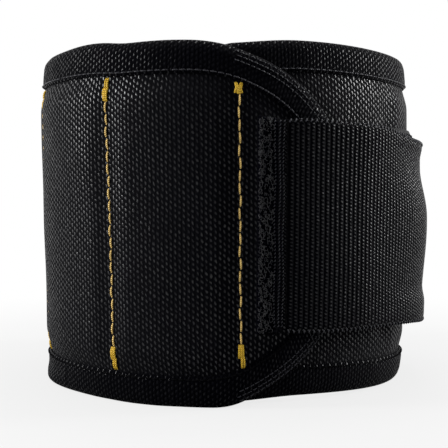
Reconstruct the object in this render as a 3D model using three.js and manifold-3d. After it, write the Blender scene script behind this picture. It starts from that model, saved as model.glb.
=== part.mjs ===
// Magnetic wristband: a padded sewn band closed into a ring, with five magnet pockets, a round tongue that laps
// over the band's other end, and an elastic strap that runs on from the tongue and closes with hook and loop.
// Millimetres, +Z up. The ring stands on its lower edge with the tongue at the front, towards -Y.
// A place on the band is its arc s from the front centre, positive towards +X, its height h above mid-height,
// and its depth outwards from the cloth's face.

import * as THREE from "three";
import { mergeVertices } from "three/addons/utils/BufferGeometryUtils.js";
import Module from "manifold-3d";

const wasm = await Module();
wasm.setup();

// Band
const bandHeight = 90;
const ringRadius = 52.5;
const coneRise = 0.9;
const gap = 0.3;

// Cloth layers
const shellThick = 0.8;
const foamThick = 2.4;
const liningThick = 1.0;
const crownRise = 1.0;
const crownRun = 6;
const foamMargin = 3.6;

// Binding tape round every edge
const tapeThick = 0.8;
const tapeLeaf = 8;
const tapeBevel = 1.2;

// Magnet pockets
const firstSeam = 4;
const frontPocket = 35.2;
const sidePocket = 40;
const pocketCount = 5;
const magnetWidth = 10;
const magnetLength = 26;
const magnetThick = 2;
const magnetPitch = 29;

// Yellow stitching on the pocket seams
const threadRadius = 0.35;

// Tongue, a half circle as wide as the band, which stands out a little towards its tip
const tongueTip = 36.1;
const tongueFlare = 2.2;
const flareStart = 7.3;

// Loop end, which dives inside the ring under the tongue; angles in degrees round from the front
const loopTipAngle = -11;
const loopEndCorner = 13;
const lapStartAngle = 85;
const lapFullAngle = 4;
const lapSlack = 0.2;
const lapLift = 1.2;
const liftStartAngle = 60;
const liftFullAngle = 24;
const liftNoneAngle = -4;
const paddingEndAngle = 58;

// Elastic strap with its hook patch, and the loop panel they close on; angles as above
const strapWidth = 52.2;
const strapThick = 1.6;
const strapStartAngle = 8.6;
const strapHingeAngle = 40.5;
const strapTipHingeAngle = 84;
const strapEndAngle = 127;
const strapCorner = 9;
const strapHem = 5;
const hemRise = 0.7;
const strapRaise = 0.6;
const strapTilt = 0.048;
const hookThick = 1.5;
const hookWidth = 44;
const hookStartAngle = 86;
const hookEndAngle = 125;
const loopThick = 1.5;
const loopWidth = 52.2;
const loopDrop = 1.1;
const loopStartAngle = 46;
const loopMargin = 5.2;

// Derived sizes
const halfHeight = bandHeight / 2;
const faceRadius = ringRadius - tapeThick - gap;
const seamGap = gap / 2;
const clothInset = tapeThick + gap;
const innerReach = shellThick + gap + foamThick + gap + liningThick - crownRise;
const leafOuter = gap + tapeThick;
const liningSeat = shellThick + gap + liningThick;
const leafInner = liningSeat + gap + tapeThick;
const lapDive = innerReach + leafOuter + gap + lapSlack;
const tongueCentre = tongueTip - halfHeight;
const degreeArc = (ringRadius * Math.PI) / 180;
const seams = [firstSeam, firstSeam - frontPocket];
for (let i = 1; i < pocketCount; i++) {
  seams.push(seams[i] - sidePocket);
}
const lastSeam = seams[pocketCount];
const behindFront = (degrees) => (degrees - 360) * degreeArc;
const loopTip = behindFront(loopTipAngle);
const paddingLimit = behindFront(paddingEndAngle);

const { lerp, clamp, smoothstep } = THREE.MathUtils;

// Degrees round from the front for a place on the loop end
const lapAngle = (s) => 360 + s / degreeArc;

// How far the band stands out of the ring at the tongue, or dives inside it at the loop end
function swing(s) {
  if (s > firstSeam) {
    return tongueFlare * Math.pow(clamp((s - flareStart) / (tongueTip - flareStart), 0, 1), 1.3);
  }
  if (s < lastSeam) {
    return -lapDive * (1 - smoothstep(lapAngle(s), lapFullAngle, lapStartAngle));
  }
  return 0;
}

// How far the loop end rides up, most just before it goes under the tongue
function lift(s) {
  if (s > lastSeam) {
    return 0;
  }
  const rise = smoothstep(lapAngle(s), liftNoneAngle, liftFullAngle);
  const fall = 1 - smoothstep(lapAngle(s), liftFullAngle, liftStartAngle);
  return lapLift * rise * fall;
}

function ringSpot(s, h, depth) {
  const angle = s / ringRadius;
  const radius = faceRadius + depth + (coneRise * h) / halfHeight;
  return new THREE.Vector3(radius * Math.sin(angle), -radius * Math.cos(angle), halfHeight + h);
}

function bandSpot(s, h, depth) {
  const place = ringSpot(s, h, depth + swing(s));
  place.z += lift(s);
  return place;
}

// Half the band's height at s, less an inset from its edge
function halfAt(s, inset = 0) {
  const reach = halfHeight - inset;
  return s > tongueCentre ? Math.sqrt(reach ** 2 - (s - tongueCentre) ** 2) : reach;
}

// Distance in from the band's outline
function edgeDistance(s, h) {
  if (s > tongueCentre) {
    return halfHeight - Math.hypot(s - tongueCentre, h);
  }
  const along = loopTip + loopEndCorner - s;
  const across = Math.abs(h) - (halfHeight - loopEndCorner);
  if (along > 0 && across > 0) {
    return loopEndCorner - Math.hypot(along, across);
  }
  return Math.min(halfHeight - Math.abs(h), s - loopTip);
}

// How full the padding is: none at the seams and under the binding, all of it inside them
function fullness(s, h) {
  if (s < paddingLimit) {
    return 0;
  }
  const seamDistance = Math.min(...seams.map((seam) => Math.abs(s - seam)), s - paddingLimit);
  const edge = smoothstep(edgeDistance(s, h) - tapeLeaf, 0, crownRun);
  return edge * smoothstep(seamDistance, 0, crownRun);
}

const faceDepth = (s, h) => crownRise * fullness(s, h);
const shellInside = (s, h) => faceDepth(s, h) - shellThick;
const foamInside = (s, h) => shellInside(s, h) - (foamThick + gap) * fullness(s, h);
const liningOutside = (s, h) => foamInside(s, h) - gap;
const liningInside = (s, h) => liningOutside(s, h) - liningThick;
const foamOutside = (s, h) => shellInside(s, h) - gap;

// Materials
const paint = (name, color, roughness, metalness = 0) =>
  Object.assign(new THREE.MeshStandardMaterial({ color, roughness, metalness }), { name });
const nylon = paint("ballistic nylon", 0x1b1b1e, 0.8);
const twill = paint("twill binding tape", 0x141416, 0.85);
const airMesh = paint("air mesh lining", 0x222226, 0.95);
const foam = paint("foam", 0x3a3a3e, 0.95);
const steel = paint("nickel plated magnet", 0xb9bcc0, 0.3, 1);
const yellowThread = paint("yellow thread", 0xe0b040, 0.7);
const blackThread = paint("black thread", 0x0c0c0e, 0.7);
const elastic = paint("woven elastic", 0x161618, 0.85);
const hookTape = paint("hook tape", 0x101012, 0.6);
const loopTape = paint("loop tape", 0x1e1e21, 1);

const band = new THREE.Group();
band.name = "magnetic_wristband";

function add(name, geometry, material) {
  const mesh = new THREE.Mesh(geometry, material);
  mesh.name = name;
  band.add(mesh);
  return mesh;
}

function welded(geometry) {
  geometry.deleteAttribute("normal");
  geometry.deleteAttribute("uv");
  const joined = mergeVertices(geometry, 1e-5);
  joined.clearGroups();
  return joined;
}

// A box of cells bent into shape: u runs towards smaller s, t outwards and v upwards
function bentBox(along, across, shape) {
  const geometry = new THREE.BoxGeometry(1, 1, 1, along, 1, across);
  const points = geometry.attributes.position;
  for (let i = 0; i < points.count; i++) {
    const place = shape(points.getX(i) + 0.5, points.getY(i) > 0, points.getZ(i) + 0.5);
    points.setXYZ(i, place.x, place.y, place.z);
  }
  return welded(geometry);
}

const pick = (list, fraction) => list[Math.round(fraction * (list.length - 1))];

const clothRises = [0, foamMargin / crownRun, 1];
const foamRises = [0, 1 - foamMargin / crownRun];

// Stations from one value to another, close together near both ends where the padding rises
function stations(from, to, step, rises) {
  const way = Math.sign(to - from);
  const near = rises.map((part) => from + way * part * crownRun);
  const far = rises.map((part) => to - way * part * crownRun).reverse();
  const inner = [];
  const span = far[0] - near[near.length - 1];
  const cells = Math.ceil(Math.abs(span) / step);
  for (let i = 1; i < cells; i++) {
    inner.push(near[near.length - 1] + (span * i) / cells);
  }
  return [...near, ...inner, ...far];
}

// Heights of the cells of a cloth panel, as parts of its half height
function heightParts() {
  const leaf = halfHeight - tapeLeaf;
  const list = stations(-leaf, leaf, 21, clothRises);
  return [-1, ...list.map((h) => h / (halfHeight - clothInset)), 1];
}

// A cloth layer between two seams
function pocketLayer(from, to, inside, outside) {
  const places = stations(from - seamGap, to + seamGap, 7.5, clothRises);
  const heights = heightParts();
  return bentBox(places.length - 1, heights.length - 1, (u, outer, v) => {
    const s = pick(places, u);
    const h = pick(heights, v) * halfAt(s, clothInset);
    return bandSpot(s, h, outer ? outside(s, h) : inside(s, h));
  });
}

// A patch spanned by four edges, each a function from 0..1 to a place on the band
function patch(right, left, lower, upper) {
  return (u, v) => {
    const place = right(v).multiplyScalar(1 - u).addScaledVector(left(v), u);
    place.addScaledVector(lower(u), 1 - v).addScaledVector(upper(u), v);
    place.addScaledVector(right(0), -(1 - u) * (1 - v)).addScaledVector(right(1), -(1 - u) * v);
    return place.addScaledVector(left(0), -u * (1 - v)).addScaledVector(left(1), -u * v);
  };
}

// The tongue's area inside an inset outline, from a straight edge at s
function tonguePatch(inset, s) {
  const reach = halfHeight - inset;
  const wide = Math.acos((s - tongueCentre) / reach);
  const corner = wide * 0.6;
  const arc = (angle) => new THREE.Vector2(tongueCentre + reach * Math.cos(angle), reach * Math.sin(angle));
  const tall = reach * Math.sin(wide);
  return patch(
    (v) => arc(lerp(-corner, corner, v)),
    (v) => new THREE.Vector2(s, lerp(-tall, tall, v)),
    (u) => arc(-lerp(corner, wide, u)),
    (u) => arc(lerp(corner, wide, u)),
  );
}

// A layer over a patch
function patchLayer(area, along, across, inside, outside) {
  return bentBox(along, across, (u, outer, v) => {
    const { x, y } = area(u, v);
    return bandSpot(x, y, outer ? outside(x, y) : inside(x, y));
  });
}

// Binding tape folded over an edge: [depth, distance in from the edge] round the fold, outside and inside
const tapeOutside = [
  [leafOuter, tapeLeaf],
  [leafOuter, tapeBevel],
  [leafOuter - tapeBevel, 0],
  [tapeBevel - leafInner, 0],
  [-leafInner, tapeBevel],
  [-leafInner, tapeLeaf],
];
const tapeCorner = 0.2;
const tapeInside = [
  [gap, tapeLeaf],
  [gap, tapeThick + tapeCorner],
  [gap - tapeCorner, tapeThick],
  [tapeCorner - gap - liningSeat, tapeThick],
  [-gap - liningSeat, tapeThick + tapeCorner],
  [-gap - liningSeat, tapeLeaf],
];

// Tape along a run of edge: edge(u) gives the place on the outline and the direction in from it
function binding(along, edge) {
  return bentBox(along, tapeOutside.length - 1, (u, outer, v) => {
    const [depth, inwards] = pick(outer ? tapeOutside : tapeInside, v);
    const { place, way } = edge(u);
    return bandSpot(place.x + way.x * inwards, place.y + way.y * inwards, depth);
  });
}

function toManifold(geometry) {
  const mesh = new wasm.Mesh({
    numProp: 3,
    vertProperties: new Float32Array(geometry.attributes.position.array),
    triVerts: new Uint32Array(geometry.index.array),
  });
  return new wasm.Manifold(mesh);
}

function cut(geometry, tools) {
  let body = toManifold(geometry);
  for (const tool of tools) {
    body = body.subtract(toManifold(tool));
  }
  const mesh = body.getMesh();
  const result = new THREE.BufferGeometry();
  result.setAttribute("position", new THREE.BufferAttribute(new Float32Array(mesh.vertProperties), 3));
  result.setIndex(new THREE.BufferAttribute(new Uint32Array(mesh.triVerts), 1));
  return result;
}

// A flat magnet in a pocket, standing at s and h; larger by a margin for the window that holds it
const magnetDepth = -(gap + shellThick + magnetThick / 2) + crownRise - magnetWidth ** 2 / (8 * faceRadius);
function magnet(s, h, margin = 0, thick = magnetThick) {
  const box = new THREE.BoxGeometry(magnetWidth + margin * 2, thick, magnetLength + margin * 2);
  const out = bandSpot(s, h, 1).sub(bandSpot(s, h, 0)).normalize();
  const up = bandSpot(s, h + 1, 0).sub(bandSpot(s, h, 0)).normalize();
  const basis = new THREE.Matrix4().makeBasis(new THREE.Vector3().crossVectors(out, up), out, up);
  box.applyMatrix4(basis.setPosition(bandSpot(s, h, magnetDepth)));
  return welded(box);
}

// Tongue
const seamSide = firstSeam + seamGap;
const tongueArea = tonguePatch(clothInset, seamSide);
add("tongue_shell", patchLayer(tongueArea, 8, 12, shellInside, faceDepth), nylon);
add("tongue_lining", patchLayer(tongueArea, 8, 12, liningInside, liningOutside), airMesh);
const tongueFoamArea = tonguePatch(tapeLeaf + foamMargin, firstSeam + foamMargin);
const thinFoam = (s, h) => foamInside(s, h) + gap;
add("tongue_foam", patchLayer(tongueFoamArea, 5, 8, thinFoam, foamOutside), foam);

// The tape's inward direction aims at the middle of the seam, so that the tape ends on the seam
const tongueSweep = Math.acos((seamSide - tongueCentre) / halfHeight);
const seamMiddle = new THREE.Vector2(seamSide, 0);
const tongueTape = binding(20, (u) => {
  const angle = lerp(-tongueSweep, tongueSweep, u);
  const place = new THREE.Vector2(Math.cos(angle), Math.sin(angle)).multiplyScalar(halfHeight);
  place.x += tongueCentre;
  return { place, way: seamMiddle.clone().sub(place).normalize() };
});
add("tongue_binding", tongueTape, twill);

// Magnet pockets, numbered from the tongue
for (let i = 0; i < pocketCount; i++) {
  const from = seams[i];
  const to = seams[i + 1];
  const middle = (from + to) / 2;
  const label = `pocket_${i + 1}`;
  add(`${label}_shell`, pocketLayer(from, to, shellInside, faceDepth), nylon);
  add(`${label}_lining`, pocketLayer(from, to, liningInside, liningOutside), airMesh);

  const foamTop = halfHeight - tapeLeaf - foamMargin;
  const foamPlaces = stations(from - foamMargin, to + foamMargin, 7.5, foamRises);
  const foamHeights = stations(-foamTop, foamTop, 27, foamRises);
  const pad = bentBox(foamPlaces.length - 1, foamHeights.length - 1, (u, outer, v) => {
    const s = pick(foamPlaces, u);
    const h = (pick(foamHeights, v) * halfAt(s)) / halfHeight;
    return bandSpot(s, h, outer ? foamOutside(s, h) : foamInside(s, h));
  });
  const windowDepth = foamThick * 4;
  const windows = [1, -1].map((side) => magnet(middle, (side * magnetPitch) / 2, gap, windowDepth));
  add(`${label}_foam`, cut(pad, windows), foam);
  add(`${label}_magnet_upper`, magnet(middle, magnetPitch / 2), steel);
  add(`${label}_magnet_lower`, magnet(middle, -magnetPitch / 2), steel);

  const tapePlaces = stations(from - seamGap, to + seamGap, 6.6, [0, 1]);
  const run = tapePlaces.length - 1;
  const edgeAt = (list, side) => (u) => {
    const s = pick(list, u);
    return { place: new THREE.Vector2(s, side * halfAt(s)), way: new THREE.Vector2(0, -side) };
  };
  const backwards = [...tapePlaces].reverse();
  add(`${label}_binding_top`, binding(run, edgeAt(tapePlaces, 1)), twill);
  add(`${label}_binding_bottom`, binding(run, edgeAt(backwards, -1)), twill);
}

// Loop end
const loopSide = lastSeam - seamGap;
function loopEndPatch(inset) {
  const tall = halfHeight - inset;
  const corner = loopEndCorner - inset;
  const tip = loopTip + inset;
  const arcLength = (corner * Math.PI) / 4;
  const straight = tall - corner;
  const bend = (angle) =>
    new THREE.Vector2(tip + corner - corner * Math.sin(angle), straight + corner * Math.cos(angle));
  const flip = (place) => new THREE.Vector2(place.x, -place.y);
  const upper = (u) => {
    const run = loopSide - (tip + corner);
    const way = u * (run + arcLength);
    return way < run ? new THREE.Vector2(loopSide - way, tall) : bend((way - run) / corner);
  };
  const end = (v) => {
    const way = Math.abs(v - 0.5) * 2 * (straight + arcLength);
    const place = way < straight ? new THREE.Vector2(tip, way) : bend(Math.PI / 2 - (way - straight) / corner);
    return v < 0.5 ? flip(place) : place;
  };
  const seam = (v) => new THREE.Vector2(loopSide, lerp(-tall, tall, v));
  return patch(seam, end, (u) => flip(upper(u)), upper);
}
const loopEndArea = loopEndPatch(clothInset);
const loopHeights = heightParts().map((part) => (part + 1) / 2);
const loopWay = loopSide - loopTip - loopEndCorner + ((loopEndCorner - clothInset) * Math.PI) / 4;
const paddedWay = stations(loopSide, paddingLimit, 7.5, clothRises).map((s) => (loopSide - s) / loopWay);
const paddedPart = paddedWay[paddedWay.length - 1];
const lapParts = [1, 2, 3, 4, 5, 6, 7, 8].map((i) => lerp(paddedPart, 1, i / 8));
const loopPlaces = [...paddedWay, ...lapParts];
const loopEndLayer = (inside, outside) =>
  bentBox(loopPlaces.length - 1, loopHeights.length - 1, (u, outer, v) => {
    const { x, y } = loopEndArea(pick(loopPlaces, u), pick(loopHeights, v));
    return bandSpot(x, y, outer ? outside(x, y) : inside(x, y));
  });
add("loop_end_shell", loopEndLayer(shellInside, faceDepth), nylon);
add("loop_end_lining", loopEndLayer(liningInside, liningOutside), airMesh);

const padMargin = crownRun + 3;
const padTop = halfHeight - tapeLeaf - padMargin;
const padPlaces = stations(lastSeam - crownRun, paddingLimit + padMargin, 7.5, foamRises);
const padHeights = [-padTop, 0, padTop];
const loopFoam = bentBox(padPlaces.length - 1, padHeights.length - 1, (u, outer, v) => {
  const s = pick(padPlaces, u);
  const h = pick(padHeights, v);
  return bandSpot(s, h, outer ? foamOutside(s, h) : foamInside(s, h));
});
add("loop_end_foam", loopFoam, foam);

const loopRun = [];
for (let i = 0; i <= 16; i++) {
  const s = lerp(loopSide, loopTip + loopEndCorner, i / 16);
  loopRun.push({ place: new THREE.Vector2(s, -halfHeight), way: new THREE.Vector2(0, 1) });
}
for (let i = 1; i <= 5; i++) {
  const angle = (i / 5) * (Math.PI / 2);
  const way = new THREE.Vector2(Math.sin(angle), Math.cos(angle));
  const middle = new THREE.Vector2(loopTip + loopEndCorner, loopEndCorner - halfHeight);
  loopRun.push({ place: middle.addScaledVector(way, -loopEndCorner), way });
}
const mirrored = [...loopRun].reverse().map(({ place, way }) => ({
  place: new THREE.Vector2(place.x, -place.y),
  way: new THREE.Vector2(way.x, -way.y),
}));
const endMiddle = { place: new THREE.Vector2(loopTip, 0), way: new THREE.Vector2(1, 0) };
const loopTapeRun = [...loopRun, endMiddle, ...mirrored].reverse();
add("loop_end_binding", binding(loopTapeRun.length - 1, (u) => pick(loopTapeRun, u)), twill);

// Loop panel sewn on the loop end
const panelPlaces = stations(lastSeam - loopMargin, behindFront(loopStartAngle), crownRun, [0, 0.6]);
const panelHeights = [0, 0.25, 0.5, 0.75, 1];
const loopPanel = bentBox(panelPlaces.length - 1, panelHeights.length - 1, (u, outer, v) => {
  const s = pick(panelPlaces, u);
  const h = (v - 0.5) * loopWidth - loopDrop;
  return bandSpot(s, h, faceDepth(s, h) + gap + (outer ? loopThick : 0));
});
add("loop_panel", loopPanel, loopTape);

// Strap
const onTongue = leafOuter + gap;
const onHook = crownRise + gap + loopThick + gap + hookThick + gap;
const hingeArc = strapHingeAngle * degreeArc;
function strapSeat(s) {
  const rest = onTongue + swing(Math.min(s, tongueTip));
  return lerp(rest, onHook, smoothstep(s, hingeArc, strapTipHingeAngle * degreeArc));
}
const strapMiddle = (s) => strapRaise - strapTilt * (s / degreeArc - strapStartAngle);

function strapHalf(s) {
  const past = s - (strapEndAngle * degreeArc - strapCorner);
  const half = strapWidth / 2;
  return past > 0 ? half - strapCorner + Math.sqrt(strapCorner ** 2 - past ** 2) : half;
}

// A length of strap over stations in arc, with its thickness there
function strapLength(places, thick) {
  return bentBox(places.length - 1, 4, (u, outer, v) => {
    const s = pick(places, u);
    const h = strapMiddle(s) + (v * 2 - 1) * strapHalf(s);
    return ringSpot(s, h, strapSeat(s) + (outer ? thick(s) : 0));
  });
}
const evenly = (from, to, cells) => Array.from({ length: cells + 1 }, (_, i) => lerp(from, to, i / cells));
const rootEdge = strapStartAngle * degreeArc;
const rootThick = (s) => strapThick + (s < rootEdge + strapHem + 0.01 ? hemRise : 0);
const rootPlaces = [...evenly(hingeArc - seamGap, rootEdge + strapHem + 1, 5), rootEdge + strapHem, rootEdge];
add("strap_root", strapLength(rootPlaces, rootThick), elastic);

const tipHinge = strapTipHingeAngle * degreeArc;
const plain = () => strapThick;
add("strap_middle", strapLength(evenly(tipHinge - seamGap, hingeArc + seamGap, 7), plain), elastic);

const endEdge = strapEndAngle * degreeArc;
const hemThick = (s) => strapThick + (s > endEdge - strapHem - 0.01 ? hemRise : 0);
const cornerParts = [0.02, 0.25, 0.55, 0.8, 1];
const roundEnd = cornerParts.map((part) => endEdge - strapCorner * (1 - Math.cos((part * Math.PI) / 2)));
const tipPlaces = [...roundEnd, ...evenly(endEdge - strapCorner - 4, tipHinge + seamGap, 5)];
add("strap_tip", strapLength(tipPlaces, hemThick), elastic);

const hookPlaces = evenly(hookEndAngle * degreeArc, hookStartAngle * degreeArc, 6);
const hookPatch = bentBox(hookPlaces.length - 1, 2, (u, outer, v) => {
  const s = pick(hookPlaces, u);
  const half = Math.min(hookWidth / 2, strapHalf(s) - 2);
  const h = strapMiddle(s) + (v * 2 - 1) * half;
  return ringSpot(s, h, onHook - gap - (outer ? 0 : hookThick));
});
add("hook_patch", hookPatch, hookTape);

// Stitching, laid in the seams' valleys
function thread(foot, head) {
  const rod = new THREE.CylinderGeometry(threadRadius, threadRadius, foot.distanceTo(head), 8, 1);
  const way = head.clone().sub(foot).normalize();
  rod.applyQuaternion(new THREE.Quaternion().setFromUnitVectors(new THREE.Vector3(0, 1, 0), way));
  rod.translate(...foot.clone().add(head).divideScalar(2).toArray());
  return welded(rod);
}
const threadSeat = gap + threadRadius;
seams.forEach((s, i) => {
  const reach = halfAt(s) - tapeLeaf - gap;
  const row = thread(bandSpot(s, -reach, threadSeat), bandSpot(s, reach, threadSeat));
  add(`stitch_line_${i + 1}`, row, yellowThread);
});
const sewn = rootEdge + strapHem + 2;
const sewnDepth = strapSeat(sewn) + strapThick + threadSeat;
const sewnReach = strapWidth / 2 - 1;
const sewnFoot = ringSpot(sewn, strapMiddle(sewn) - sewnReach, sewnDepth);
const sewnHead = ringSpot(sewn, strapMiddle(sewn) + sewnReach, sewnDepth);
add("strap_stitching", thread(sewnFoot, sewnHead), blackThread);

// The origin is the middle of the ring's footprint, on the floor
const size = new THREE.Box3().setFromObject(band);
const middle = size.getCenter(new THREE.Vector3());
band.position.set(-middle.x, -middle.y, -size.min.z);

export default band;
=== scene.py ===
# Magnetic wristband dressed over its CAD frame: cloth, tape, elastic, stitching, hook and loop.
# Shapes are worked out in millimetres on the band and written to meshes in metres.
import bpy
import math
import numpy as np
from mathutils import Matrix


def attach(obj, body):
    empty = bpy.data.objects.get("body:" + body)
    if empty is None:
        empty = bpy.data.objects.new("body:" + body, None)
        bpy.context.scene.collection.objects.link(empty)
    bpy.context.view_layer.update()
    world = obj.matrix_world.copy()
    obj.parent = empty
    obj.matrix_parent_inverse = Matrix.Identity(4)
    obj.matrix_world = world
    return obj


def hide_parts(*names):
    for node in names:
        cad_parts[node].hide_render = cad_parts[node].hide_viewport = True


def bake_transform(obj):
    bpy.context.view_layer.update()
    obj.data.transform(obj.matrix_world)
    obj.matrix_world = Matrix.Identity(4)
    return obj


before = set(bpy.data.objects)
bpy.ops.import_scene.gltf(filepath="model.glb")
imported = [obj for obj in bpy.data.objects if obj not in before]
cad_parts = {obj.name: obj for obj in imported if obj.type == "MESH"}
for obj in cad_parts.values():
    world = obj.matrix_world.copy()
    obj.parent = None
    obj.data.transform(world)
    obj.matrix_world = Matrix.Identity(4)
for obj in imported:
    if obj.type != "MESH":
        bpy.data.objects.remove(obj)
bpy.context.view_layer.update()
scene = bpy.context.scene

# A place on the band is its arc s from the front centre (towards +X), its height h above mid-height
# and its depth outwards from the cloth's face
band = {
    "half": 45.0,
    "ringRadius": 52.5,
    "faceRadius": 51.4,
    "cone": 0.9,                      # wider at the top edge, narrower at the bottom one
    "axis": (-2.491, 0.843),          # ring axis in the part's frame
    "seams": (4.0, -31.2, -71.2, -111.2, -151.2, -191.2),
    "tongueTip": 36.1,
    "tongueFlare": 2.2,
    "flareStart": 7.3,
    "loopTip": -339.95,
    "loopCorner": 13.0,
    "lapDive": 5.4,
    "lapFull": 4.0,                   # degrees round from the front
    "lapStart": 85.0,
    "lapLift": 1.2,
    "liftNone": -4.0,
    "liftFull": 24.0,
    "liftStart": 76.0,
    "rollIn": 0.9,                    # the sewn edge leans in a little
    "seamPull": 0.3,                  # and is drawn in at each seam
    "humps": ((-38.0, 13.0, 0.9), (-14.0, 9.0, 0.35)),   # where the upper edge rides up: place, reach, rise
    "sags": ((3.0, 7.0, 0.9), (-22.0, 14.0, 0.35)),      # and where the lower one hangs down
    # splay of the lower edge: place, reach, size and the heights below the middle where it starts and is full
    "feet": ((-64.0, 15.0, 1.7, 39.5, 44.5), (-252.0, 28.0, 0.7, 26.0, 38.0)),
    "collar": 0.45,                   # drawn in under the upper tape, between these heights
    "collarHeights": (28.0, 41.0),
    "paddingEnd": 58.0,
    "clothInset": 1.1,
}
degreeArc = band["ringRadius"] * math.pi / 180
tongueCentre = band["tongueTip"] - band["half"]
lastSeam = band["seams"][-1]


def runLength(points):
    # distance along a path up to each of its points
    return np.concatenate([[0], np.cumsum(np.linalg.norm(np.diff(points, axis=0), axis=1))])


def smooth(x, low, high):
    # 0 below low, 1 above high, easing at both ends
    t = np.clip((x - low) / (high - low), 0, 1)
    return t * t * (3 - 2 * t)


def swing(s):
    # outwards at the tongue as a power curve, inwards under it at the loop end
    reach = np.clip((s - band["flareStart"]) / (band["tongueTip"] - band["flareStart"]), 0, 1)
    dive = 1 - smooth(360 + s / degreeArc, band["lapFull"], band["lapStart"])
    return band["tongueFlare"] * reach ** 1.3 - np.where(s < lastSeam, band["lapDive"] * dive, 0)


def lift(s):
    # the loop end rides up, most just before it goes under the tongue
    around = 360 + s / degreeArc
    rising = smooth(around, band["liftNone"], band["liftFull"])
    falling = 1 - smooth(around, band["liftFull"], band["liftStart"])
    return np.where(s < lastSeam, band["lapLift"] * rising * falling, 0)


def ringPoint(s, h, depth):
    # polar place about the ring's axis, on a slight cone
    s, h, depth = np.broadcast_arrays(s, h, depth)
    radius = band["faceRadius"] + depth + band["cone"] * h / band["half"]
    angle = s / band["ringRadius"]
    x = radius * np.sin(angle) + band["axis"][0]
    y = -radius * np.cos(angle) + band["axis"][1]
    return np.stack([x, y, band["half"] + h], axis=-1)


def bump(s, at, reach):
    # 1 at a place, falling away as a bell
    return np.exp(-((s - at) / reach) ** 2)


def bandPoint(s, h, depth):
    # the ring's point, moved as the sewn cloth is: out at the tongue, in at the edges and seams,
    # up at the loop end
    lean = band["rollIn"] * (1 - smooth(edgeDistance(s, h), 1.0, 14.0))
    splay = 0
    for at, reach, far, begins, full in band["feet"]:
        splay = splay + far * bump(s, at, reach) * smooth(-h, begins, full)
    collar = band["collar"] * smooth(h, *band["collarHeights"])
    place = ringPoint(s, h, depth + swing(s) - lean + splay - collar)
    pull = np.max([bump(s, seam + 3.2, 5.0) for seam in band["seams"]], axis=0)
    drawn = band["seamPull"] * pull * smooth(h, 20.0, band["half"])
    hump = sum(rise * bump(s, at, reach) for at, reach, rise in band["humps"])
    sag = sum(rise * bump(s, at, reach) for at, reach, rise in band["sags"])
    hangs = np.minimum(sag * smooth(-h, 30.0, band["half"]), np.maximum(place[..., 2], 0))
    place[..., 2] += lift(s) - drawn + hump * smooth(h, 32.0, band["half"]) - hangs
    return place


def edgeDistance(s, h):
    # distance in from the outline: a half circle at the tongue, rounded corners at the loop end
    atTongue = band["half"] - np.hypot(s - tongueCentre, h)
    along = band["loopTip"] + band["loopCorner"] - s
    across = np.abs(h) - (band["half"] - band["loopCorner"])
    atCorner = band["loopCorner"] - np.hypot(along, across)
    straight = np.minimum(band["half"] - np.abs(h), s - band["loopTip"])
    inner = np.where((along > 0) & (across > 0), atCorner, straight)
    return np.where(s > tongueCentre, atTongue, inner)


def seamDistance(s):
    # along the arc to the nearest seam
    return np.min([np.abs(s - seam) for seam in band["seams"]], axis=0)


# Meshes

def slabFaces(rows, cols, mask=None):
    # quads of a closed slab over a grid: outer face, inner face, and a wall wherever the kept cells end
    mask = np.ones((rows - 1, cols - 1), bool) if mask is None else mask
    grid = np.arange(rows * cols).reshape(rows, cols)
    a, b, c, d = grid[:-1, :-1], grid[1:, :-1], grid[1:, 1:], grid[:-1, 1:]
    back = rows * cols
    quads = [np.stack([a, b, c, d], -1)[mask], np.stack([d, c, b, a], -1)[mask] + back]
    ringed = np.pad(mask, 1)
    sides = ((ringed[1:-1, :-2], b, a), (ringed[2:, 1:-1], c, b),
             (ringed[1:-1, 2:], d, c), (ringed[:-2, 1:-1], a, d))
    for beyond, first, second in sides:
        edge = mask & ~beyond
        p, q = first[edge], second[edge]
        quads.append(np.stack([p, q, q + back, p + back], -1))
    return np.concatenate(quads)


def slab(outer, inner, uv, mask=None):
    # a closed sheet from its outer and inner grids of points
    rows, cols = outer.shape[:2]
    points = np.concatenate([outer.reshape(-1, 3), inner.reshape(-1, 3)])
    flat = uv.reshape(-1, 2)
    return points, slabFaces(rows, cols, mask), np.concatenate([flat, flat])


def tubes(paths, radii, out, sides=6):
    # many round threads at once: rings of points about each path, closed at both ends by two quads
    count, steps = paths.shape[:2]
    along = np.gradient(paths, axis=1)
    along /= np.linalg.norm(along, axis=-1, keepdims=True)
    across = np.cross(along, out)
    across /= np.linalg.norm(across, axis=-1, keepdims=True)
    up = np.cross(across, along)
    turn = np.arange(sides) * 2 * math.pi / sides
    ring = np.cos(turn)[:, None] * across[:, :, None] + np.sin(turn)[:, None] * up[:, :, None]
    points = paths[:, :, None] + np.broadcast_to(radii, (count, steps))[..., None, None] * ring
    index = np.arange(count * steps * sides).reshape(count, steps, sides)
    nxt = np.roll(index, -1, axis=2)
    walls = np.stack([index[:, :-1], index[:, 1:], nxt[:, 1:], nxt[:, :-1]], -1).reshape(-1, 4)
    first, last = index[:, 0], index[:, -1]
    caps = [walls]
    for k in range(1, sides - 1, 2):
        caps.append(np.stack([first[:, 0], first[:, k], first[:, k + 1], first[:, (k + 2) % sides]], -1))
        caps.append(np.stack([last[:, (k + 2) % sides], last[:, k + 1], last[:, k], last[:, 0]], -1))
    lengths = np.cumsum(np.linalg.norm(np.diff(paths, axis=1, prepend=paths[:, :1]), axis=-1), axis=1)
    uv = np.stack(np.broadcast_arrays(lengths[:, :, None], turn[None, None] * 0.3), -1)
    return points.reshape(-1, 3), np.concatenate(caps), uv.reshape(-1, 2)


def threads(pointOf, s, h, depth, radius):
    # round threads at places on the band or the strap, with the way out there as their upper side
    return tubes(pointOf(s, h, depth), radius, pointOf(s, h, 1.0) - pointOf(s, h, 0.0))


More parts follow.
